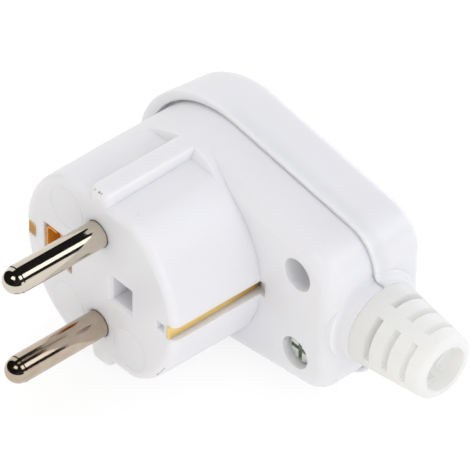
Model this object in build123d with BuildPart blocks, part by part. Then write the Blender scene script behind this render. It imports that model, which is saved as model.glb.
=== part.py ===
"""Angled earthed mains plug that can be rewired: shells, pins, earth contacts, cord clamp and bend sleeve.

The origin is the centre of the contact face. The pins point along -Y, the cord leaves along +X, and the
plug lies on its side, so the line from pin to pin is Z. All sizes are in millimetres.
"""
import math
import os

from build123d import *

# Round contact pins
pin_d = 4.8
pin_length = 19.0
pin_pitch = 19.0
pin_tip_step = 0.15
pin_fit = 0.05
pin_neck_d = 4.2
pin_neck_y = -0.12
pin_neck_length = 1.5
pin_tower_d = 10.6
pin_tower_depth = 11.0
pin_collar_d = 8.0
pin_collar_t = 1.6
pin_head_d = 6.8
pin_head_length = 8.4
wire_hole_d = 3.0

# Contact nose, measured back from the contact face
nose_d = 36.6
nose_length = 18.1
nose_draft = 0.73
face_edge_r = 1.4
face_wall = 3.0
flat_depth = 2.1
flat_length = 17.5
flat_rise = 0.6
flat_ramp = 1.2
rib_w = 4.8
rib_draft = 0.5
rib_edge_r = 0.5
flat_edge_r = 4.0

# Housing behind the nose, seen along Y
housing_end_x = 34.7
housing_taper = 8.1
housing_corner_r = 6.5
housing_front_r = 2.8
housing_depth = 8.9
shell_wall = 2.0
shell_tongue = 2.2

# Rear cover
cover_depth = 10.8
cover_draft = 4.9
cover_rim = 0.95
cover_wall = 2.2
cover_lip = 1.8
cover_lip_gap = 0.6
cover_fit = 0.1
cover_back_r = 2.0
cover_front_r = 0.3

# Earth clip grooves in the nose and the strap that lies in them
groove_w = 2.7
groove_depth = 1.75
groove_end = 1.2
groove_reach = 1.0
clip_post_w = 5.4
clip_post_t = 3.2
clip_back_t = 1.4
near_slot_w = 1.7
near_slot_t = 1.8
near_slot_gap = 0.6
near_slot_depth = 1.2
hook_t = 0.95
hook_depth = 2.2
hook_fit = 0.1
strap_t = 0.65
strap_leg_w = 2.4
strap_bar_w = 6.0
strap_bar_gap = 1.3
strap_bend_r = 1.6
strap_tip_y = 0.05
strap_fit = 0.15

# Socket in the face for an earth pin, and the contact inside it
earth_x = -10.0
earth_opening = 6.9
earth_wall = 1.1
earth_contact_t = 0.4
earth_contact_y = 0.2
earth_contact_gap = 0.45
earth_contact_r = 1.1
earth_slit_w = 0.9
earth_slit_rear = 14.0
earth_ridge_r = 0.3
earth_ridge_length = 3.0
earth_ridge_y = 5.5
rivet_d = 2.4
rivet_head_d = 4.2
rivet_head_t = 0.8

# Square pocket in the face
pocket_x = 5.4
pocket_side = 4.7
pocket_depth = 14.0
pocket_wall = 1.0
pocket_chamfer = 0.6

# Round mould marks on the contact face
mark_x = 7.5
mark_z = 10.0
mark_r = 4.0
mark_w = 0.3
mark_depth = 0.08

# Earth terminal
terminal_gap = 0.3
terminal_screw_d = 3.5
terminal_head_d = 5.8
terminal_head_t = 1.9
terminal_slot_w = 0.8
terminal_slot_depth = 0.9
terminal_screw_length = 6.0
clamp_plate_side = 6.4
clamp_plate_t = 1.0

# Cover screws and their trapped nuts
cover_screw_x = 26.85
cover_screw_z = 8.25
screw_hole_d = 5.9
screw_hole_depth = 6.0
screw_boss_d = 8.6
screw_boss_gap = 0.2
screw_d = 3.0
screw_fit = 0.2
screw_head_d = 5.4
screw_head_t = 2.0
screw_dome_r = 0.6
screw_length = 10.4
screw_slot_w = 0.8
screw_slot_depth = 1.0
lower_screw_proud = 2.75
nut_side = 5.5
nut_t = 2.0
nut_depth = 2.0
nut_fit = 0.1
thread_fit = 0.03

# Cord clamp
clamp_x = 18.6
clamp_w = 5.0
clamp_bore_d = 8.2
clamp_wall = 2.0
clamp_ear_t = 3.0
clamp_screw_z = 8.3
clamp_post_d = 6.2
clamp_screw_d = 3.0
clamp_screw_head_d = 5.4
clamp_screw_head_t = 1.9
clamp_screw_length = 9.0

# Bend sleeve
sleeve_bore_d = 8.0
sleeve_lead = 0.6
sleeve_length = 14.2
sleeve_root_d = 14.8
sleeve_mid_d = 13.05
sleeve_end_d = 11.7
sleeve_end_r = 1.3
sleeve_neck_d = 11.0
sleeve_flange_d = 13.0
sleeve_flange_t = 1.5
sleeve_fit = 0.1
collar_d = 15.0
collar_length = 2.6
collar_root_r = 1.1
slot_first = 3.45
slot_pitch = 3.63
slot_rows = 3
slot_columns = 4
slot_turn = 22.0
slot_w = 1.3
slot_span = 68.0

# Places that follow from the sizes above
pin_r = pin_d / 2
nose_r = nose_d / 2
housing_r = nose_r + nose_length * math.tan(math.radians(nose_draft))
flat_across = nose_d - 2 * flat_depth
groove_floor_x = nose_r - groove_depth
seam_y = nose_length + housing_depth
cover_back_y = seam_y + cover_depth
strap_bar_y = nose_length + strap_bar_gap
shell_rear_y = seam_y + shell_tongue
cord_y = seam_y
sleeve_start_x = housing_end_x + collar_length + sleeve_fit
strap_rear_y = strap_bar_y + strap_t
strap_out_x = groove_floor_x + strap_t
clip_post_depth = hook_depth + hook_fit + clip_back_t
terminal_x = pocket_x + pocket_side / 2 + pocket_wall + terminal_gap + terminal_screw_d / 2
screw_seat_y = nose_length + screw_hole_depth
boss_rear_y = cord_y - screw_boss_gap
nut_y = boss_rear_y + screw_boss_gap + nut_depth
cover_inner_y = cover_back_y - cover_wall
pin_rear_y = pin_tower_depth + pin_collar_t + pin_head_length
cord_axis = Axis((0, cord_y, 0), (1, 0, 0))
sides = {"upper": 1, "lower": -1}

os.makedirs("parts", exist_ok=True)


def at_depth(y):
    """Sketch plane parallel to the contact face: local x is X and local y is Z, and -amount goes to +Y."""
    return Plane.XZ.offset(-y)


def across_cord(x):
    """Sketch plane square to the cord: local x is Y from the cord's axis, and local y is Z."""
    return Plane(origin=(x, cord_y, 0), x_dir=(0, 1, 0), z_dir=(1, 0, 0))


def housing_outline(grow, lip=0.0):
    """Outline of the housing grown by a margin, with its round end pushed out by a lip."""
    lean = math.radians(housing_taper)
    side = housing_r + grow
    round_r = side + lip * math.sin(lean)
    end_x = housing_end_x + grow
    end_z = (side - end_x * math.sin(lean)) / math.cos(lean)
    tangent = (round_r * math.sin(lean) - lip, round_r * math.cos(lean))
    with BuildSketch() as outline:
        with BuildLine():
            Line(tangent, (end_x, end_z))
            Line((end_x, end_z), (end_x, -end_z))
            Line((end_x, -end_z), (tangent[0], -tangent[1]))
            ThreePointArc((tangent[0], -tangent[1]), (-lip - round_r, 0), tangent)
        make_face()
        fillet(outline.vertices().sort_by(Axis.X)[-2:], housing_corner_r + grow)
    return outline.sketch


def half_collar(root_x, wall_x, front):
    """Half of the collar round the bend sleeve, from root_x, with a hollow blend into the wall at wall_x."""
    blend_x = wall_x + collar_root_r
    collar_r = collar_d / 2
    with BuildPart() as collar:
        with BuildSketch(at_depth(cord_y)):
            with BuildLine():
                Polyline(
                    (blend_x, collar_r),
                    (housing_end_x + collar_length, collar_r),
                    (housing_end_x + collar_length, sleeve_neck_d / 2 + sleeve_fit),
                    (root_x, sleeve_neck_d / 2 + sleeve_fit),
                    (root_x, collar_r + collar_root_r),
                    (wall_x, collar_r + collar_root_r),
                )
                RadiusArc((wall_x, collar_r + collar_root_r), (blend_x, collar_r), -collar_root_r)
            make_face()
        revolve(axis=cord_axis, revolution_arc=180 if front else -180)
    return collar.part


# Front shell: the contact nose, the housing and the supports for everything inside
with BuildPart() as front_shell:
    with BuildSketch(at_depth(nose_length)):
        add(housing_outline(0))
    extrude(amount=-(shell_rear_y - nose_length))
    front_edges = front_shell.faces().sort_by(Axis.Y)[0].edges()
    fillet(front_edges, housing_front_r)
    with BuildSketch(Plane.XY):
        with BuildLine():
            Polyline(
                (0, 0),
                (nose_r, 0),
                (housing_r, nose_length),
                (housing_r, nose_length + housing_front_r),
                (0, nose_length + housing_front_r),
                close=True,
            )
        make_face()
    revolve(axis=Axis.Y)
    with BuildPart(mode=Mode.PRIVATE) as flats:
        with BuildSketch(at_depth(0)):
            with BuildLine():
                Polyline(
                    (rib_w / 2, flat_across / 2),
                    (housing_r, flat_across / 2),
                    (housing_r, housing_r),
                    (rib_w / 2 - rib_draft, housing_r),
                    close=True,
                )
            make_face()
        extrude(amount=-(flat_length + flat_ramp))
        with BuildSketch(Plane.YZ):
            with BuildLine():
                Polyline(
                    (0, flat_across / 2),
                    (flat_length, flat_across / 2 + flat_rise),
                    (flat_length + flat_ramp, housing_r),
                    (0, housing_r),
                    close=True,
                )
            make_face()
        extrude(amount=housing_r, mode=Mode.INTERSECT)
        mirror(about=Plane.YZ)
        mirror(about=Plane.XY)
    add(flats.part, mode=Mode.SUBTRACT)
    for low, high, radius in ((0, rib_w / 2 - rib_draft / 2, rib_edge_r), (rib_w, nose_r, flat_edge_r)):
        nose_edges = front_shell.edges().filter_by_position(Axis.Y, flat_length / 3, flat_length * 2 / 3)
        fillet([edge for edge in nose_edges if low <= abs(edge.center().X) < high], radius)
    fillet(front_shell.faces().sort_by(Axis.Y)[0].edges(), face_edge_r)

    # Hollow housing and nose
    with BuildSketch(at_depth(nose_length + shell_wall)):
        add(housing_outline(-shell_wall))
    extrude(amount=-(shell_rear_y - nose_length), mode=Mode.SUBTRACT)
    with BuildSketch(at_depth(face_wall)):
        Circle(nose_r - shell_wall)
        Rectangle(nose_d, flat_across - 2 * shell_wall, mode=Mode.INTERSECT)
    extrude(amount=-(nose_length + shell_wall - face_wall), mode=Mode.SUBTRACT)

    # Towers, posts and bosses inside
    with BuildSketch(at_depth(face_wall)):
        with Locations((0, pin_pitch / 2), (0, -pin_pitch / 2)):
            Circle(pin_tower_d / 2)
    extrude(amount=-(pin_tower_depth - face_wall))
    with BuildSketch(at_depth(face_wall)):
        with Locations((earth_x, 0)):
            Rectangle(earth_opening + 2 * earth_wall, earth_opening + 2 * earth_wall)
        with Locations((pocket_x, 0)):
            Rectangle(pocket_side + 2 * pocket_wall, pocket_side + 2 * pocket_wall)
    extrude(amount=-(strap_bar_y - face_wall))
    for thickness, rear_y in ((clip_post_t, clip_post_depth), (clip_back_t, strap_bar_y - strap_bend_r)):
        with BuildSketch(at_depth(face_wall)):
            for sign in sides.values():
                with Locations((sign * (groove_floor_x - thickness / 2), 0)):
                    Rectangle(thickness, clip_post_w)
        extrude(amount=-(rear_y - face_wall))
    with BuildSketch(at_depth(nose_length)):
        with Locations((cover_screw_x, cover_screw_z), (cover_screw_x, -cover_screw_z)):
            Circle(screw_boss_d / 2)
    extrude(amount=-(boss_rear_y - nose_length))
    with BuildSketch(at_depth(nose_length + shell_wall / 2)):
        with Locations((clamp_x, clamp_screw_z), (clamp_x, -clamp_screw_z)):
            Circle(clamp_post_d / 2)
        with Locations((clamp_x, 0)):
            Rectangle(clamp_w, 2 * clamp_screw_z)
    extrude(amount=-(cord_y - nose_length - shell_wall / 2))

    # Collar for the bend sleeve, on the cable end
    add(half_collar(housing_end_x - shell_wall, housing_end_x, True))
    with BuildSketch(across_cord(housing_end_x - shell_wall - collar_d)):
        Circle(sleeve_neck_d / 2 + sleeve_fit)
        with Locations((collar_d / 2, 0)):
            Rectangle(collar_d, sleeve_neck_d + 2 * sleeve_fit)
    extrude(amount=2 * collar_d, mode=Mode.SUBTRACT)
    with BuildSketch(across_cord(clamp_x - clamp_w)):
        Circle(clamp_bore_d / 2)
    extrude(amount=2 * clamp_w, mode=Mode.SUBTRACT)

    # Holes and grooves
    with BuildSketch(at_depth(0)):
        with Locations((0, pin_pitch / 2), (0, -pin_pitch / 2)):
            Circle(pin_r + pin_fit)
    extrude(amount=-pin_tower_depth, mode=Mode.SUBTRACT)
    with BuildSketch(at_depth(0)):
        with Locations((earth_x, 0)):
            Rectangle(earth_opening, earth_opening)
    extrude(amount=-strap_bar_y, mode=Mode.SUBTRACT)
    with BuildSketch(at_depth(0)):
        with Locations((pocket_x, 0)):
            Rectangle(pocket_side, pocket_side)
    extrude(amount=-pocket_depth, mode=Mode.SUBTRACT)
    mouth = front_shell.edges().filter_by_position(Axis.Y, -mark_depth, mark_depth)
    mouth = mouth.filter_by_position(Axis.X, pocket_x - pocket_side, pocket_x + pocket_side)
    chamfer(mouth.filter_by_position(Axis.Z, -pocket_side, pocket_side), pocket_chamfer)
    with BuildSketch(at_depth(0)):
        with Locations((-mark_x, mark_z), (-mark_x, -mark_z), (mark_x, -mark_z)):
            Circle(mark_r)
            Circle(mark_r - mark_w, mode=Mode.SUBTRACT)
    extrude(amount=-mark_depth, mode=Mode.SUBTRACT)
    with BuildSketch(at_depth(0)):
        with Locations((groove_floor_x - near_slot_gap - near_slot_t / 2, 0)):
            Rectangle(near_slot_t, near_slot_w)
    extrude(amount=-near_slot_depth, mode=Mode.SUBTRACT)
    with BuildSketch(at_depth(0)):
        with Locations(((hook_t + hook_fit) / 2 - groove_floor_x, 0)):
            Rectangle(hook_t + hook_fit, strap_leg_w + 2 * hook_fit)
    extrude(amount=-(hook_depth + hook_fit), mode=Mode.SUBTRACT)
    with BuildSketch(at_depth(0)):
        for sign in sides.values():
            with Locations((sign * (groove_floor_x + housing_r + groove_reach) / 2, 0)):
                Rectangle(housing_r + groove_reach - groove_floor_x, groove_w)
    extrude(amount=-(nose_length + groove_end), mode=Mode.SUBTRACT)
    with BuildSketch(at_depth(strap_bar_y - strap_bend_r)):
        for sign in sides.values():
            with Locations((sign * (strap_out_x + strap_fit - strap_bend_r), 0)):
                Rectangle(2 * strap_bend_r, groove_w)
    extrude(amount=-(strap_t + strap_bend_r + strap_fit), mode=Mode.SUBTRACT)
    with BuildSketch(at_depth(nose_length)):
        with Locations((cover_screw_x, cover_screw_z), (cover_screw_x, -cover_screw_z)):
            Circle(screw_hole_d / 2)
    extrude(amount=-screw_hole_depth, mode=Mode.SUBTRACT)
    with BuildSketch(at_depth(nose_length)):
        with Locations((cover_screw_x, cover_screw_z), (cover_screw_x, -cover_screw_z)):
            Circle(screw_d / 2 + screw_fit)
    extrude(amount=-(boss_rear_y - nose_length), mode=Mode.SUBTRACT)
    with BuildSketch(at_depth(cord_y - clamp_screw_length + clamp_ear_t)):
        with Locations((clamp_x, clamp_screw_z), (clamp_x, -clamp_screw_z)):
            Circle(clamp_screw_d / 2 + thread_fit)
    extrude(amount=-clamp_screw_length, mode=Mode.SUBTRACT)

# Rear cover: a tray with a lip past the round end, nut bosses and its half of the sleeve collar
with BuildPart() as rear_cover:
    with BuildSketch(at_depth(seam_y)):
        add(housing_outline(cover_rim, cover_lip))
    extrude(amount=-(cover_back_y - seam_y), taper=cover_draft)
    fillet(rear_cover.faces().sort_by(Axis.Y)[-1].edges(), cover_back_r)
    fillet(rear_cover.faces().sort_by(Axis.Y)[0].edges(), cover_front_r)
    with BuildSketch(at_depth(seam_y)):
        add(housing_outline(cover_fit, cover_lip_gap))
    extrude(amount=-(shell_tongue + cover_fit), mode=Mode.SUBTRACT)
    with BuildSketch(at_depth(seam_y)):
        add(housing_outline(cover_rim - cover_wall, cover_lip_gap))
    extrude(amount=-(cover_inner_y - seam_y), mode=Mode.SUBTRACT)
    with BuildSketch(at_depth(cord_y)):
        with Locations((cover_screw_x, cover_screw_z), (cover_screw_x, -cover_screw_z)):
            Circle(screw_boss_d / 2)
    extrude(amount=-(cover_inner_y - cord_y))
    add(half_collar(housing_end_x + cover_fit, housing_end_x + cover_rim, False))
    with BuildSketch(across_cord(housing_end_x - collar_d)):
        Circle(sleeve_neck_d / 2 + sleeve_fit)
    extrude(amount=2 * collar_d, mode=Mode.SUBTRACT)
    with BuildSketch(at_depth(cord_y)):
        with Locations((cover_screw_x, cover_screw_z), (cover_screw_x, -cover_screw_z)):
            Circle(screw_d / 2 + screw_fit)
    extrude(amount=-(cover_inner_y - cord_y), mode=Mode.SUBTRACT)
    with BuildSketch(at_depth(nut_y - nut_fit)):
        for sign in sides.values():
            with Locations((cover_screw_x, sign * (cover_screw_z - screw_boss_d / 4))):
                Rectangle(nut_side + 2 * nut_fit, nut_side + 2 * nut_fit + screw_boss_d / 2)
    extrude(amount=-(nut_t + 2 * nut_fit), mode=Mode.SUBTRACT)

# Bend sleeve: a tapered sleeve with rows of slots, and a flange trapped behind the housing's end wall
with BuildPart() as bend_sleeve:
    flange_x = housing_end_x - shell_wall - sleeve_fit
    sleeve_end_x = sleeve_start_x + sleeve_length
    sleeve_mid_x = sleeve_start_x + sleeve_length / 2
    slot_side = sleeve_root_d * math.tan(math.radians(slot_span / 2))
    with BuildSketch(Plane.XY):
        with BuildLine():
            Polyline(
                (flange_x, cord_y + sleeve_neck_d / 2),
                (flange_x, cord_y + sleeve_flange_d / 2),
                (flange_x - sleeve_flange_t, cord_y + sleeve_flange_d / 2),
                (flange_x - sleeve_flange_t, cord_y + sleeve_bore_d / 2 + sleeve_lead),
                (flange_x - sleeve_flange_t + sleeve_lead, cord_y + sleeve_bore_d / 2),
                (sleeve_end_x, cord_y + sleeve_bore_d / 2),
                (sleeve_end_x, cord_y + sleeve_end_d / 2 - sleeve_end_r),
            )
            RadiusArc(
                (sleeve_end_x, cord_y + sleeve_end_d / 2 - sleeve_end_r),
                (sleeve_end_x - sleeve_end_r, cord_y + sleeve_end_d / 2),
                -sleeve_end_r,
            )
            ThreePointArc(
                (sleeve_end_x - sleeve_end_r, cord_y + sleeve_end_d / 2),
                (sleeve_mid_x, cord_y + sleeve_mid_d / 2),
                (sleeve_start_x, cord_y + sleeve_root_d / 2),
            )
            Polyline(
                (sleeve_start_x, cord_y + sleeve_root_d / 2),
                (sleeve_start_x, cord_y + sleeve_neck_d / 2),
                (flange_x, cord_y + sleeve_neck_d / 2),
            )
        make_face()
    revolve(axis=cord_axis)
    for row in range(slot_rows):
        with BuildSketch(across_cord(sleeve_start_x + slot_first + row * slot_pitch)):
            with PolarLocations(0, slot_columns, start_angle=180 - slot_turn):
                Polygon((0, 0), (sleeve_root_d, -slot_side), (sleeve_root_d, slot_side), align=None)
        extrude(amount=slot_w / 2, both=True, mode=Mode.SUBTRACT)


def contact_pin(z):
    """Turned pin with a domed tip, a neck at the face, a collar behind its tower and a drilled terminal head."""
    with BuildPart() as pin:
        with BuildSketch(Plane.YZ):
            with BuildLine():
                dome_r = pin_r - pin_tip_step
                RadiusArc((-pin_length, z), (dome_r - pin_length, z + dome_r), dome_r)
                Polyline(
                    (dome_r - pin_length, z + dome_r),
                    (dome_r + pin_tip_step - pin_length, z + pin_r),
                    (pin_neck_y, z + pin_r),
                    (pin_neck_y, z + pin_neck_d / 2),
                    (pin_neck_y + pin_neck_length, z + pin_neck_d / 2),
                    (pin_neck_y + pin_neck_length, z + pin_r),
                    (pin_tower_depth, z + pin_r),
                    (pin_tower_depth, z + pin_collar_d / 2),
                    (pin_tower_depth + pin_collar_t, z + pin_collar_d / 2),
                    (pin_tower_depth + pin_collar_t, z + pin_head_d / 2),
                    (pin_rear_y, z + pin_head_d / 2),
                    (pin_rear_y, z),
                    (-pin_length, z),
                )
            make_face()
        revolve(axis=Axis((0, 0, z), (0, 1, 0)))
        with BuildSketch(at_depth(pin_rear_y)):
            with Locations((0, z)):
                Circle(terminal_screw_d / 2 + thread_fit)
        extrude(amount=terminal_screw_length, mode=Mode.SUBTRACT)
        with BuildSketch(Plane.YZ):
            with Locations((pin_rear_y - pin_head_length / 2, z)):
                Circle(wire_hole_d / 2)
        extrude(amount=pin_head_d, both=True, mode=Mode.SUBTRACT)
    return pin.part


def cheese_screw(x, y, z, length):
    """Slotted cheese-head screw whose head sits on depth y and whose shank runs forward from it."""
    with BuildPart() as screw:
        with BuildSketch(at_depth(y)):
            with Locations((x, z)):
                Circle(terminal_head_d / 2)
        extrude(amount=-terminal_head_t)
        with BuildSketch(at_depth(y)):
            with Locations((x, z)):
                Circle(terminal_screw_d / 2)
        extrude(amount=length)
        with BuildSketch(at_depth(y + terminal_head_t)):
            with Locations((x, z)):
                Rectangle(terminal_slot_w, terminal_head_d)
        extrude(amount=terminal_slot_depth, mode=Mode.SUBTRACT)
    return screw.part


def pan_screw(x, y, z, rearward, diameter, length, head_d, head_t):
    """Cross-recessed pan-head screw with its head's seat at depth y, driven rearward or forward."""
    way = -1 if rearward else 1
    with BuildPart() as screw:
        with BuildSketch(at_depth(y)):
            with Locations((x, z)):
                Circle(head_d / 2)
        extrude(amount=-way * head_t)
        top = screw.faces().sort_by(Axis.Y)[0 if rearward else -1]
        fillet(top.edges(), screw_dome_r)
        with BuildSketch(at_depth(y)):
            with Locations((x, z)):
                Circle(diameter / 2)
        extrude(amount=way * length)
        with BuildSketch(at_depth(y + way * head_t)):
            with Locations((x, z)):
                Rectangle(head_d - 2 * screw_dome_r, screw_slot_w)
                Rectangle(screw_slot_w, head_d - 2 * screw_dome_r)
        extrude(amount=way * screw_slot_depth, mode=Mode.SUBTRACT)
    return screw.part


def square_nut(z):
    """Square nut in its pocket in the cover's boss."""
    with BuildPart() as nut:
        with BuildSketch(at_depth(nut_y)):
            with Locations((cover_screw_x, z)):
                Rectangle(nut_side, nut_side)
                Circle(screw_d / 2 + thread_fit, mode=Mode.SUBTRACT)
        extrude(amount=-nut_t)
    return nut.part


# Earth strap: a bar across the shell with a leg in each groove of the nose, and a hook on the far leg's tip
with BuildPart() as earth_strap:
    with BuildSketch(Plane.XY):
        with Locations((0, (strap_tip_y + strap_rear_y) / 2)):
            bent = Rectangle(2 * strap_out_x, strap_rear_y - strap_tip_y)
        fillet(bent.vertices().group_by(Axis.Y)[-1], strap_bend_r)
        with BuildLine():
            FilletPolyline(
                (-groove_floor_x, strap_tip_y),
                (-groove_floor_x, strap_bar_y),
                (groove_floor_x, strap_bar_y),
                (groove_floor_x, strap_tip_y),
                radius=strap_bend_r - strap_t,
            )
            Line((groove_floor_x, strap_tip_y), (-groove_floor_x, strap_tip_y))
        make_face(mode=Mode.SUBTRACT)
    extrude(amount=strap_leg_w / 2, both=True)
    with BuildSketch(at_depth(strap_bar_y)):
        Rectangle(2 * (groove_floor_x - strap_bend_r), strap_bar_w)
    extrude(amount=-strap_t)
    with BuildSketch(at_depth(strap_tip_y)):
        with Locations((hook_t / 2 - groove_floor_x, 0)):
            Rectangle(hook_t, strap_leg_w)
    extrude(amount=-(hook_depth - strap_tip_y))
    with BuildSketch(at_depth(strap_bar_y)):
        with Locations((earth_x, 0)):
            Circle(rivet_d / 2 + thread_fit)
        with Locations((terminal_x, 0)):
            Circle(terminal_screw_d / 2 + thread_fit)
    extrude(amount=-strap_t, mode=Mode.SUBTRACT)

# Earth socket: a square sleeve of folded sheet with two leaves, a ridge in each, and a riveted base
with BuildPart() as earth_socket:
    outer = earth_opening - 2 * earth_contact_gap
    inner = outer - 2 * earth_contact_t
    with BuildSketch(at_depth(earth_contact_y)):
        with Locations((earth_x, 0)):
            RectangleRounded(outer, outer, earth_contact_r)
    extrude(amount=-(strap_bar_y - earth_contact_y))
    with BuildSketch(at_depth(earth_contact_y)):
        with Locations((earth_x, 0)):
            RectangleRounded(inner, inner, earth_contact_r - earth_contact_t)
    extrude(amount=-(strap_bar_y - earth_contact_t - earth_contact_y), mode=Mode.SUBTRACT)
    with BuildSketch(at_depth(earth_contact_y)):
        with Locations((earth_x, 0)):
            Rectangle(earth_slit_w, outer)
    extrude(amount=-(earth_slit_rear - earth_contact_y), mode=Mode.SUBTRACT)
    with BuildSketch(Plane.XY):
        with Locations((earth_x - inner / 2, earth_ridge_y), (earth_x + inner / 2, earth_ridge_y)):
            Circle(earth_ridge_r)
    extrude(amount=earth_ridge_length / 2, both=True)
    with BuildSketch(at_depth(strap_bar_y)):
        with Locations((earth_x, 0)):
            Circle(rivet_d / 2 + thread_fit)
    extrude(amount=earth_contact_t, mode=Mode.SUBTRACT)

with BuildPart() as earth_rivet:
    with BuildSketch(at_depth(strap_bar_y - earth_contact_t)):
        with Locations((earth_x, 0)):
            Circle(rivet_d / 2)
    extrude(amount=-(earth_contact_t + strap_t))
    with BuildSketch(at_depth(strap_bar_y - earth_contact_t), at_depth(strap_rear_y + rivet_head_t)):
        with Locations((earth_x, 0)):
            Circle(rivet_head_d / 2)
    extrude(amount=rivet_head_t)

with BuildPart() as earth_clamp_plate:
    with BuildSketch(at_depth(strap_rear_y)):
        with Locations((terminal_x, 0)):
            Rectangle(clamp_plate_side, clamp_plate_side)
            Circle(terminal_screw_d / 2 + thread_fit, mode=Mode.SUBTRACT)
    extrude(amount=-clamp_plate_t)

# Cord clamp: an arched bar over the cord, seated on the two posts
with BuildPart() as cord_clamp:
    with BuildSketch(across_cord(clamp_x)):
        with Locations((clamp_ear_t / 2, 0)):
            Rectangle(clamp_ear_t, 2 * clamp_screw_z + clamp_post_d)
        Circle(clamp_bore_d / 2 + clamp_wall)
        with Locations((-clamp_bore_d, 0)):
            Rectangle(2 * clamp_bore_d, 2 * clamp_bore_d, mode=Mode.SUBTRACT)
        Circle(clamp_bore_d / 2, mode=Mode.SUBTRACT)
    extrude(amount=clamp_w / 2, both=True)
    with BuildSketch(at_depth(cord_y)):
        with Locations((clamp_x, clamp_screw_z), (clamp_x, -clamp_screw_z)):
            Circle(clamp_screw_d / 2 + screw_fit)
    extrude(amount=-clamp_ear_t, mode=Mode.SUBTRACT)

pieces = {
    "front_shell": front_shell.part,
    "rear_cover": rear_cover.part,
    "bend_sleeve": bend_sleeve.part,
    "earth_strap": earth_strap.part,
    "earth_socket": earth_socket.part,
    "earth_rivet": earth_rivet.part,
    "earth_clamp_plate": earth_clamp_plate.part,
    "earth_terminal_screw": cheese_screw(terminal_x, strap_rear_y + clamp_plate_t, 0, terminal_screw_length),
    "cord_clamp": cord_clamp.part,
}
for place, sign in sides.items():
    pin_z = sign * pin_pitch / 2
    screw_seat = screw_seat_y if place == "upper" else screw_seat_y - lower_screw_proud
    pieces[place + "_pin"] = contact_pin(pin_z)
    pieces[place + "_terminal_screw"] = cheese_screw(0, pin_rear_y, pin_z, pin_head_length / 2)
    pieces[place + "_cover_screw"] = pan_screw(
        cover_screw_x, screw_seat, sign * cover_screw_z, True, screw_d, screw_length, screw_head_d, screw_head_t
    )
    pieces[place + "_cover_nut"] = square_nut(sign * cover_screw_z)
    pieces[place + "_clamp_screw"] = pan_screw(
        clamp_x,
        cord_y + clamp_ear_t,
        sign * clamp_screw_z,
        False,
        clamp_screw_d,
        clamp_screw_length,
        clamp_screw_head_d,
        clamp_screw_head_t,
    )

for name, piece in pieces.items():
    piece.label = name
    export_step(piece, f"parts/{name}.step")
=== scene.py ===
"""Angled earthed mains plug: the finishes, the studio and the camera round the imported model.

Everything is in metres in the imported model's frame: the pins point along -Y, the cord leaves along +X,
and the line from pin to pin is Z.
"""

import logging
import math
from abc import ABC, abstractmethod
from dataclasses import dataclass, replace
from enum import Enum
from typing import Any, Mapping, Optional

import bpy
from mathutils import Matrix, Vector


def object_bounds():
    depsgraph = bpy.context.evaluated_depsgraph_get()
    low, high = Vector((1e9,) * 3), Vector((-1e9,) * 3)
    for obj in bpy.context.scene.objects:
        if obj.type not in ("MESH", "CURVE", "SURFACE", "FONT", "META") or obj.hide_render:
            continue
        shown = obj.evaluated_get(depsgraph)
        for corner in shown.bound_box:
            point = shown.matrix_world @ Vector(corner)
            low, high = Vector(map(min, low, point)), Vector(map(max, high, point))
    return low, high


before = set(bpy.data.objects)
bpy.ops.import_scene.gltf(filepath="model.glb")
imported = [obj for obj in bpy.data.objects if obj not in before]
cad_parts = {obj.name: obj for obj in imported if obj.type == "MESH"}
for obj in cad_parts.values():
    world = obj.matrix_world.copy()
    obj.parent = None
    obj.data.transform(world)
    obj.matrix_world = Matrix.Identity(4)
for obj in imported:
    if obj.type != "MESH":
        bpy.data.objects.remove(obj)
CAD_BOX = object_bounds()

MM = 0.001
log = logging.getLogger("angled_plug")

Tree = bpy.types.NodeTree
Socket = bpy.types.NodeSocket

# Numbers of the colour sockets of a Mix node, whose names its other sockets share
MIX_UNDER = 6
MIX_OVER = 7
MIX_RESULT = 2
# Values that a noise pattern mostly lies between
NOISE_LOW = 0.3
NOISE_HIGH = 0.7
# Finer layers of noise in a soft patch and in a grain
PATCH_DETAIL = 2.0
GRAIN_DETAIL = 3.0
# Share of a speck's radius that has its full colour
SPECK_CORE = 0.5
# How far red, green and blue light go in white plastic, as shares of its glow depth
GLOW_REACH = (1.0, 0.95, 0.9)
# Place of the rounded front edge of the nose: its radius about Y, and its depth behind the face
EDGE_RADIUS_MM = 17.89
EDGE_DEPTH_MM = 0.42
# Darker brown laid on the brass strip towards its ends
BRASS_END_BROWN = "B98A45"


class Turn(Enum):
    """The axis that a curved card bends round."""

    Y = "Y"
    Z = "Z"


class Tone(Enum):
    """What a card shows in a reflection, as the strength of its light."""

    DARK = 0.012
    BRIGHT = 1.7


def linear(code: str) -> tuple[float, float, float, float]:
    """Turns an sRGB colour into linear light, by the formula of that standard.

    Args:
        code: Six hex digits, such as "E8E8EC".

    Returns:
        Linear red, green and blue, and an alpha of 1.
    """
    parts = [int(code[at:at + 2], 16) / 255 for at in (0, 2, 4)]
    red, green, blue = (c / 12.92 if c <= 0.04045 else ((c + 0.055) / 1.055) ** 2.4 for c in parts)
    return red, green, blue, 1.0


def add_node(
    tree: Tree,
    kind: str,
    settings: Optional[Mapping[str, Any]] = None,
    inputs: Optional[Mapping[Any, Any]] = None,
) -> bpy.types.Node:
    """Adds one node with its settings, values and links.

    Args:
        tree: The node tree that takes the node.
        kind: Blender's name for the node's type.
        settings: Properties of the node itself.
        inputs: Socket name or number to a plain value, or to the output socket that feeds it.

    Returns:
        The new node.
    """
    node = tree.nodes.new(kind)
    for key, value in (settings or {}).items():
        setattr(node, key, value)
    for key, value in (inputs or {}).items():
        if isinstance(value, Socket):
            tree.links.new(value, node.inputs[key])
        else:
            node.inputs[key].default_value = value
    return node


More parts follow.
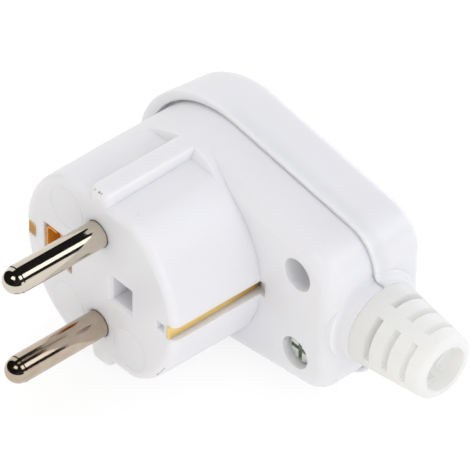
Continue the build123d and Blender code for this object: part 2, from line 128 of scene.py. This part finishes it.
def start_material(name: str) -> tuple[bpy.types.Material, Tree]:
    """Makes an empty node material.

    Args:
        name: Name of the material.

    Returns:
        The material and its cleared node tree.
    """
    material = bpy.data.materials.new(name)
    material.use_nodes = True
    material.node_tree.nodes.clear()
    return material, material.node_tree


@dataclass(frozen=True)
class Speck:
    """A round mark on the surface of the plug.

    Attributes:
        place_mm: Its centre in millimetres.
        radius_mm: Radius in millimetres at which it has faded out.
        colour: Colour as sRGB hex.
    """

    place_mm: tuple[float, float, float]
    radius_mm: float
    colour: str

    def paint(self, tree: Tree, place: Socket, under: Socket) -> Socket:
        """Paints the mark over a colour, full at its core and then fading out.

        Args:
            tree: The node tree that takes it.
            place: Coordinates in metres.
            under: The colour so far.

        Returns:
            The colour with the mark on it.
        """
        centre = Vector(self.place_mm) * MM
        edge = self.radius_mm * MM
        away = add_node(
            tree, "ShaderNodeVectorMath", {"operation": "DISTANCE"}, {0: place, 1: centre}
        ).outputs["Value"]
        share = add_node(
            tree, "ShaderNodeMapRange", {}, {"Value": away, "From Min": edge, "From Max": edge * SPECK_CORE}
        ).outputs["Result"]
        return add_node(
            tree,
            "ShaderNodeMix",
            {"data_type": "RGBA"},
            {"Factor": share, MIX_UNDER: under, MIX_OVER: linear(self.colour)},
        ).outputs[MIX_RESULT]


def edge_scratch(
    start_deg: float, step_deg: float, count: int, radius_mm: float, colour: str
) -> tuple[Speck, ...]:
    """Lays a fine scratch along the rounded front edge of the nose, as a row of specks.

    Args:
        start_deg: Turn of the first speck from +X towards +Z.
        step_deg: Turn from one speck to the next.
        count: How many specks there are.
        radius_mm: Radius of a speck in millimetres.
        colour: Colour as sRGB hex.

    Returns:
        The specks.
    """
    specks = []
    for step in range(count):
        turn = math.radians(start_deg + step_deg * step)
        across = EDGE_RADIUS_MM * math.cos(turn)
        rise = EDGE_RADIUS_MM * math.sin(turn)
        specks.append(Speck((across, EDGE_DEPTH_MM, rise), radius_mm, colour))
    return tuple(specks)


@dataclass(frozen=True, kw_only=True)
class Finish(ABC):
    """What every finish has: a colour in faint patches, specks on it, and a grain in its gloss and height.

    Attributes:
        name: Name of the material.
        colour: Main colour as sRGB hex.
        patch_colour: Colour of the patches as sRGB hex.
        patch_mm: Width of a patch in millimetres.
        roughness: Roughness at the middle of the grain's range.
        roughness_swing: How far the grain takes the roughness up and down.
        grain_mm: Width of the grain along X, Y and Z in millimetres, drawn coarse enough to show.
        grain_height_mm: Height of the grain in millimetres.
        specks: Marks that lie on the colour.
    """

    name: str
    colour: str
    patch_colour: str
    patch_mm: float
    roughness: float
    roughness_swing: float
    grain_mm: tuple[float, float, float]
    grain_height_mm: float
    specks: tuple[Speck, ...] = ()

    def paint(self, tree: Tree, place: Socket) -> Socket:
        """Adds the colour with its patches and specks.

        Args:
            tree: The node tree that takes it.
            place: Coordinates in metres.

        Returns:
            The colour.
        """
        patch = add_node(
            tree,
            "ShaderNodeTexNoise",
            {},
            {"Vector": place, "Scale": 1 / (self.patch_mm * MM), "Detail": PATCH_DETAIL},
        ).outputs["Fac"]
        colour = add_node(
            tree,
            "ShaderNodeMix",
            {"data_type": "RGBA"},
            {"Factor": patch, MIX_UNDER: linear(self.colour), MIX_OVER: linear(self.patch_colour)},
        ).outputs[MIX_RESULT]
        for speck in self.specks:
            colour = speck.paint(tree, place, colour)
        return colour

    def roughen(self, tree: Tree, place: Socket) -> tuple[Socket, Socket]:
        """Adds the grain.

        Args:
            tree: The node tree that takes it.
            place: Coordinates in metres.

        Returns:
            The roughness and the normal that the grain gives.
        """
        stretched = add_node(
            tree,
            "ShaderNodeMapping",
            {},
            {"Vector": place, "Scale": tuple(1 / (width * MM) for width in self.grain_mm)},
        ).outputs["Vector"]
        grain = add_node(
            tree, "ShaderNodeTexNoise", {}, {"Vector": stretched, "Scale": 1.0, "Detail": GRAIN_DETAIL}
        ).outputs["Fac"]
        gloss = add_node(
            tree,
            "ShaderNodeMapRange",
            {},
            {
                "Value": grain,
                "From Min": NOISE_LOW,
                "From Max": NOISE_HIGH,
                "To Min": self.roughness - self.roughness_swing,
                "To Max": self.roughness + self.roughness_swing,
            },
        ).outputs["Result"]
        bump = add_node(
            tree,
            "ShaderNodeBump",
            {},
            {"Height": grain, "Strength": 1.0, "Distance": self.grain_height_mm * MM},
        ).outputs["Normal"]
        return gloss, bump

    @abstractmethod
    def shade(self, tree: Tree, colour: Socket, gloss: Socket, bump: Socket) -> Socket:
        """Adds the shader.

        Args:
            tree: The node tree that takes it.
            colour: The colour.
            gloss: The roughness.
            bump: The normal.

        Returns:
            The finished surface.
        """

    def build(self) -> bpy.types.Material:
        """Builds the node material.

        Returns:
            The finished material.
        """
        material, tree = start_material(self.name)
        place = add_node(tree, "ShaderNodeTexCoord").outputs["Object"]
        colour = self.paint(tree, place)
        gloss, bump = self.roughen(tree, place)
        surface = self.shade(tree, colour, gloss, bump)
        add_node(tree, "ShaderNodeOutputMaterial", {}, {"Surface": surface})
        return material


@dataclass(frozen=True, kw_only=True)
class MouldedPlastic(Finish):
    """Plastic from a mould: even in colour, with a soft gloss and light that sinks in a little.

    Attributes:
        ior: Index of refraction.
        glow: Share of the light that sinks in.
        glow_mm: How deep it goes in millimetres.
        through: Share of the light that shines through a thin wall.
    """

    ior: float
    glow: float
    glow_mm: float
    through: float = 0.0

    def shade(self, tree: Tree, colour: Socket, gloss: Socket, bump: Socket) -> Socket:
        """Adds the plastic's shader.

        Args:
            tree: The node tree that takes it.
            colour: The colour.
            gloss: The roughness.
            bump: The normal.

        Returns:
            The finished surface.
        """
        front = add_node(
            tree,
            "ShaderNodeBsdfPrincipled",
            {},
            {
                "Base Color": colour,
                "Roughness": gloss,
                "IOR": self.ior,
                "Normal": bump,
                "Subsurface Weight": self.glow,
                "Subsurface Radius": GLOW_REACH,
                "Subsurface Scale": self.glow_mm * MM,
            },
        ).outputs["BSDF"]
        if not self.through:
            return front
        back = add_node(
            tree, "ShaderNodeBsdfTranslucent", {}, {"Color": colour, "Normal": bump}
        ).outputs["BSDF"]
        return add_node(
            tree, "ShaderNodeMixShader", {}, {0: self.through, 1: front, 2: back}
        ).outputs["Shader"]


@dataclass(frozen=True, kw_only=True)
class Metal(Finish):
    """Metal, clean or under a tarnish.

    Attributes:
        bare: Share of the surface that mirrors as clean metal does.
    """

    bare: float = 1.0

    def shade(self, tree: Tree, colour: Socket, gloss: Socket, bump: Socket) -> Socket:
        """Adds the metal's shader.

        Args:
            tree: The node tree that takes it.
            colour: The colour.
            gloss: The roughness.
            bump: The normal.

        Returns:
            The finished surface.
        """
        return add_node(
            tree,
            "ShaderNodeBsdfPrincipled",
            {},
            {"Base Color": colour, "Metallic": self.bare, "Roughness": gloss, "Normal": bump},
        ).outputs["BSDF"]


# Marks in the photo: a scratch low on the right of the nose, scuffs on the upper rib and one beside it
SCUFFS = edge_scratch(start_deg=-38.9, step_deg=0.9, count=12, radius_mm=0.17, colour="B5B4B3") + (
    Speck((-1.06, 0.38, 17.85), 0.3, "D0CFCF"),
    Speck((0.01, 0.4, 17.89), 0.24, "8A8888"),
    Speck((0.5, 0.41, 17.89), 0.24, "B9B7B7"),
    Speck((6.61, 2.75, 16.29), 0.09, "5A564F"),
    Speck((13.9, 0.46, -11.34), 0.26, "9C9A9A"),
)
# Moulded housing plastic: white and satin from a polished mould, so it shows soft broad highlights
HOUSING_PLASTIC = MouldedPlastic(
    name="housing_plastic_moulded_white",
    colour="EFEFF2",
    patch_colour="ECECF0",
    patch_mm=14.0,
    roughness=0.34,
    roughness_swing=0.04,
    grain_mm=(0.5, 0.5, 0.5),
    grain_height_mm=0.0012,
    specks=SCUFFS,
    ior=1.5,
    glow=1.0,
    glow_mm=1.2,
)
# Soft sleeve plastic: a little yellower than the housing, and light shines through it into the slots
SLEEVE_PLASTIC = MouldedPlastic(
    name="sleeve_plastic_moulded_soft",
    colour="FCFCFB",
    patch_colour="FAFAF9",
    patch_mm=5.0,
    roughness=0.42,
    roughness_swing=0.06,
    grain_mm=(0.4, 0.4, 0.4),
    grain_height_mm=0.002,
    ior=1.49,
    glow=0.3,
    glow_mm=1.5,
    through=0.3,
)
# Plain plastic of the cord clamp inside: from a mould that isn't polished, so it looks greyer and dull
INNER_PLASTIC = MouldedPlastic(
    name="inner_plastic_moulded_plain",
    colour="D8D8D6",
    patch_colour="CFCFCC",
    patch_mm=6.0,
    roughness=0.5,
    roughness_swing=0.06,
    grain_mm=(0.4, 0.4, 0.4),
    grain_height_mm=0.004,
    ior=1.5,
    glow=0.1,
    glow_mm=0.8,
)
# Bright nickel on turned brass: a warm mirror with short fine marks along the pin from use
PIN_NICKEL = Metal(
    name="pin_nickel_plated_bright",
    colour="D9D1C4",
    patch_colour="CFC5B4",
    patch_mm=2.5,
    roughness=0.09,
    roughness_swing=0.04,
    grain_mm=(0.3, 0.6, 0.3),
    grain_height_mm=0.002,
)
# The same plate on the lower pin, rougher, and darker and browner in colour: painted shade and a painted
# reflection of the upper pin
ROUGH_NICKEL_PAINTED_SHADE = replace(
    PIN_NICKEL,
    name="pin_nickel_plated_rough_painted_shade",
    colour="CBBEAF",
    patch_colour="B4A28F",
    roughness=0.12,
    grain_height_mm=0.003,
)
# Rolled sheet brass: warm yellow with long rolling marks, darker brown at the far tip and towards the inner
# end
STRIP_BRASS = Metal(
    name="strip_brass_rolled_sheet",
    colour="FBE3A0",
    patch_colour="F2D080",
    patch_mm=3.0,
    roughness=0.34,
    roughness_swing=0.08,
    grain_mm=(0.2, 5.0, 0.2),
    grain_height_mm=0.0015,
    specks=(Speck((-16.9, 0.3, -0.5), 2.6, BRASS_END_BROWN), Speck((17.2, 34.0, 0.0), 22.0, BRASS_END_BROWN)),
)
# Spring brass of the earth socket: browner, and under a tarnish that gives most of the light back evenly
SOCKET_BRASS = Metal(
    name="socket_brass_stamped_dull",
    colour="F2AA40",
    patch_colour="DE9028",
    patch_mm=1.5,
    roughness=0.5,
    roughness_swing=0.1,
    grain_mm=(0.3, 2.0, 0.3),
    grain_height_mm=0.003,
    bare=0.2,
)
# Zinc-plated steel: pale grey with a faint green cast and a mottled, slightly dull plate
SCREW_ZINC = Metal(
    name="screw_steel_zinc_plated",
    colour="EEF1EA",
    patch_colour="C6CCC2",
    patch_mm=0.6,
    roughness=0.5,
    roughness_swing=0.12,
    grain_mm=(0.4, 0.4, 0.4),
    grain_height_mm=0.003,
)


@dataclass
class Dressing:
    """A group of CAD nodes that share one finish.

    Attributes:
        title: What the group is.
        nodes: Names of its CAD nodes.
        finish: The finish they take.
    """

    title: str
    nodes: tuple[str, ...]
    finish: Finish

    def dress(self) -> None:
        """Gives every node of the group its finish."""
        material = self.finish.build()
        for name in self.nodes:
            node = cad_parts[name]
            node.data.materials.clear()
            node.data.materials.append(material)
            log.info("%s: %s in %s", self.title, name, material.name)


@dataclass
class PhotoCamera:
    """The camera that took the photograph, found from the pins, the face and the seam.

    Attributes:
        focal_px: Focal length in pixels of the square frame.
        frame_px: Width of the frame in pixels.
        sensor_mm: Width of the sensor that the lens is worked out for.
        azimuth_deg: Turn to the right of straight on to the pins.
        elevation_deg: Height above level.
        roll_deg: Turn about the line of sight.
        target_mm: Point that the turns are made about.
        offset_mm: Move of the camera to the right and up, square to its line of sight.
        distance_mm: Distance to the target.
        clip: Nearest and farthest distance that it shows, in metres.
    """

    focal_px: float = 4196.58
    frame_px: int = 470
    sensor_mm: float = 36.0
    azimuth_deg: float = 47.321
    elevation_deg: float = 41.06
    roll_deg: float = 1.128
    target_mm: tuple[float, float, float] = (20.0, 15.0, 0.0)
    offset_mm: tuple[float, float] = (-2.721, 10.449)
    distance_mm: float = 664.888
    clip: tuple[float, float] = (0.01, 20.0)

    def build(self) -> None:
        """Makes the camera and gives it to the scene."""
        turn = math.radians(self.azimuth_deg)
        rise = math.radians(self.elevation_deg)
        roll = math.radians(self.roll_deg)
        back = Vector((math.sin(turn) * math.cos(rise), -math.cos(turn) * math.cos(rise), math.sin(rise)))
        level = Vector((math.cos(turn), math.sin(turn), 0.0))
        upright = back.cross(level)
        right = level * math.cos(roll) + upright * math.sin(roll)
        up = upright * math.cos(roll) - level * math.sin(roll)
        across, along = self.offset_mm
        eye = Vector(self.target_mm) + right * across + up * along + back * self.distance_mm
        lens = bpy.data.cameras.new("photo_camera")
        lens.sensor_width = self.sensor_mm
        lens.lens = self.focal_px / self.frame_px * self.sensor_mm
        lens.clip_start, lens.clip_end = self.clip
        camera = bpy.data.objects.new("photo_camera", lens)
        camera.matrix_world = Matrix.Translation(eye * MM) @ Matrix((right, up, back)).transposed().to_4x4()
        bpy.context.scene.collection.objects.link(camera)
        bpy.context.scene.camera = camera
        log.info("camera: %.0f mm lens at %s", lens.lens, [round(v, 3) for v in camera.location])


@dataclass
class SoftBox:
    """A square area lamp that faces the plug.

    Attributes:
        name: Name of the lamp.
        place: Where it stands in metres.
        width: Width in metres.
        power: Power in watts.
        colour: Colour as sRGB hex.
    """

    name: str
    place: tuple[float, float, float]
    width: float
    power: float
    colour: str

    def build(self) -> None:
        """Makes the lamp and turns it to the plug."""
        lamp = bpy.data.lights.new(self.name, "AREA")
        lamp.size = self.width
        lamp.energy = self.power
        lamp.color = linear(self.colour)[:3]
        holder = bpy.data.objects.new(self.name, lamp)
        holder.location = self.place
        holder.rotation_euler = (-Vector(self.place)).to_track_quat("-Z", "Y").to_euler()
        bpy.context.scene.collection.objects.link(holder)


@dataclass
class Card:
    """A curved card round the plug that only reflections see, which draws the bands on the bright pins.

    Attributes:
        name: Name of the card.
        tone: What it shows.
        turn: Axis that it bends round.
        start_deg: First edge, as an angle from +X: towards +Z round Y, and towards +Y round Z.
        end_deg: Last edge.
        near: First end along the axis in metres.
        far: Last end along the axis in metres.
        radius: Distance from the axis in metres.
        steps: Flat strips that make the curve.
    """

    name: str
    tone: Tone
    turn: Turn
    start_deg: float
    end_deg: float
    near: float
    far: float
    radius: float = 0.7
    steps: int = 24

    def build(self) -> None:
        """Makes the card, unseen by the camera and casting no light or shadow on the plug."""
        points = []
        for step in range(self.steps + 1):
            angle = math.radians(self.start_deg + (self.end_deg - self.start_deg) * step / self.steps)
            across, rise = self.radius * math.cos(angle), self.radius * math.sin(angle)
            for along in (self.near, self.far):
                points.append((across, along, rise) if self.turn is Turn.Y else (across, rise, along))
        faces = [(2 * step, 2 * step + 1, 2 * step + 3, 2 * step + 2) for step in range(self.steps)]
        mesh = bpy.data.meshes.new(self.name)
        mesh.from_pydata(points, [], faces)
        material, tree = start_material(self.name)
        light = add_node(tree, "ShaderNodeEmission", {}, {"Strength": self.tone.value}).outputs["Emission"]
        add_node(tree, "ShaderNodeOutputMaterial", {}, {"Surface": light})
        mesh.materials.append(material)
        card = bpy.data.objects.new(self.name, mesh)
        card.visible_camera = False
        card.visible_diffuse = False
        card.visible_shadow = False
        card.visible_transmission = False
        bpy.context.scene.collection.objects.link(card)


@dataclass
class Studio:
    """The pale floor, the even white surround, the lamps and the cards.

    Attributes:
        lamps: The lamps.
        cards: The cards that the metal mirrors.
        floor_width: Width of the floor in metres.
        floor_gap: Distance of the floor below the plug in metres.
        floor_colour: Colour of the floor as sRGB hex.
        floor_glow: Light that the floor adds where the camera or a reflection looks at it.
        floor_share: Share of the lit floor that the camera sees, which carries the shadow.
        sky: Strength of the white surround on the object.
        sky_colour: Colour of that surround as sRGB hex.
        bounces: Times that light may bounce off the plastic and the metal, which keeps deep holes pale.
    """

    lamps: tuple[SoftBox, ...]
    cards: tuple[Card, ...]
    floor_width: float = 6.0
    floor_gap: float = 0.00005
    floor_colour: str = "FAFAFA"
    floor_glow: float = 0.715
    floor_share: float = 0.38
    sky: float = 0.77
    sky_colour: str = "FFFFFF"
    bounces: int = 12

    def seen(self, tree: Tree) -> Socket:
        """Adds the test for what the camera, a reflection or a clear material sees.

        Args:
            tree: The node tree that takes it.

        Returns:
            1 on such a ray, and 0 on the rays that light the object.
        """
        path = add_node(tree, "ShaderNodeLightPath").outputs
        test = path["Is Camera Ray"]
        for ray in ("Is Glossy Ray", "Is Transmission Ray"):
            test = add_node(
                tree, "ShaderNodeMath", {"operation": "MAXIMUM"}, {0: test, 1: path[ray]}
            ).outputs["Value"]
        return test

    def build_floor(self) -> None:
        """Makes the floor: a full white bounce for the object, and a paler shadow for the camera."""
        material, tree = start_material("studio_floor_white")
        strength = self.floor_glow / (1 - self.floor_share)
        colour = linear(self.floor_colour)
        lit = add_node(tree, "ShaderNodeBsdfDiffuse", {}, {"Color": colour}).outputs["BSDF"]
        glow = add_node(tree, "ShaderNodeEmission", {}, {"Strength": strength}).outputs["Emission"]
        shown = add_node(
            tree, "ShaderNodeMixShader", {}, {0: self.floor_share, 1: glow, 2: lit}
        ).outputs["Shader"]
        both = add_node(
            tree, "ShaderNodeMixShader", {}, {0: self.seen(tree), 1: lit, 2: shown}
        ).outputs["Shader"]
        add_node(tree, "ShaderNodeOutputMaterial", {}, {"Surface": both})
        half = self.floor_width / 2
        level = CAD_BOX[0].z - self.floor_gap
        corners = [(-half, -half, level), (half, -half, level), (half, half, level), (-half, half, level)]
        mesh = bpy.data.meshes.new("studio_floor")
        mesh.from_pydata(corners, [], [(0, 1, 2, 3)])
        mesh.materials.append(material)
        floor = bpy.data.objects.new("studio_floor", mesh)
        bpy.context.scene.collection.objects.link(floor)

    def build_sky(self) -> None:
        """Makes the surround: full white where it is seen, and dimmer as light on the object."""
        world = bpy.data.worlds.new("studio_white")
        world.use_nodes = True
        tree = world.node_tree
        tree.nodes.clear()
        strength = add_node(
            tree, "ShaderNodeMapRange", {}, {"Value": self.seen(tree), "To Min": self.sky, "To Max": 1.0}
        ).outputs["Result"]
        light = add_node(
            tree, "ShaderNodeBackground", {}, {"Color": linear(self.sky_colour), "Strength": strength}
        ).outputs["Background"]
        add_node(tree, "ShaderNodeOutputWorld", {}, {"Surface": light})
        bpy.context.scene.world = world

    def build(self) -> None:
        """Makes the whole studio."""
        self.build_floor()
        self.build_sky()
        for piece in self.lamps + self.cards:
            piece.build()
        scene = bpy.context.scene
        scene.view_settings.view_transform = "Standard"
        scene.cycles.diffuse_bounces = self.bounces
        scene.cycles.glossy_bounces = self.bounces
        scene.cycles.max_bounces = max(self.bounces, scene.cycles.max_bounces)
        log.info("studio: %d lamps and %d cards", len(self.lamps), len(self.cards))


LAMPS = (
    SoftBox("key_softbox", place=(1.05, 0.1, 0.6), width=0.9, power=2.2, colour="F2F4FF"),
    SoftBox("hole_fill", place=(0.95, -0.65, 0.3), width=0.6, power=1.4, colour="FFFCF2"),
    SoftBox("top_softbox", place=(-0.1, 0.4, 1.2), width=0.9, power=1.0, colour="F4F6FF"),
    SoftBox("back_softbox", place=(-0.1, 1.2, 0.1), width=0.9, power=4.0, colour="F8F9FF"),
    SoftBox("warm_fill", place=(-0.4, -1.2, 0.3), width=0.9, power=1.3, colour="FFECBC"),
)
CARDS = (
    Card("overhead_card", Tone.DARK, Turn.Y, start_deg=62.0, end_deg=126.0, near=-0.5, far=1.4),
    Card("strip_card", Tone.BRIGHT, Turn.Y, start_deg=34.0, end_deg=62.0, near=0.0, far=1.4),
    Card("side_card", Tone.DARK, Turn.Y, start_deg=10.0, end_deg=34.0, near=0.0, far=1.4),
    Card(
        "front_card", Tone.DARK, Turn.Z, start_deg=-178.0, end_deg=-2.0, near=-0.019, far=1.2, radius=0.16
    ),
    Card(
        "window_card", Tone.BRIGHT, Turn.Z, start_deg=-98.0, end_deg=-54.0, near=0.12, far=0.28, radius=0.14
    ),
)
GROUPS = (
    Dressing("housing", ("front_shell", "rear_cover"), HOUSING_PLASTIC),
    Dressing("bend sleeve", ("bend_sleeve",), SLEEVE_PLASTIC),
    Dressing("upper contact pin", ("upper_pin",), PIN_NICKEL),
    Dressing("lower contact pin", ("lower_pin",), ROUGH_NICKEL_PAINTED_SHADE),
    Dressing("earth strap", ("earth_strap",), STRIP_BRASS),
    Dressing("earth socket", ("earth_socket", "earth_rivet"), SOCKET_BRASS),
    Dressing(
        "screws and terminals",
        (
            "upper_cover_screw",
            "lower_cover_screw",
            "upper_cover_nut",
            "lower_cover_nut",
            "upper_clamp_screw",
            "lower_clamp_screw",
            "upper_terminal_screw",
            "lower_terminal_screw",
            "earth_terminal_screw",
            "earth_clamp_plate",
        ),
        SCREW_ZINC,
    ),
    Dressing("cord clamp", ("cord_clamp",), INNER_PLASTIC),
)


def main() -> None:
    """Dresses the plug, then builds the camera and the studio."""
    logging.basicConfig(level=logging.INFO, format="%(name)s: %(message)s")
    for group in GROUPS:
        group.dress()
    PhotoCamera().build()
    Studio(LAMPS, CARDS).build()


if __name__ == "__main__":
    main()
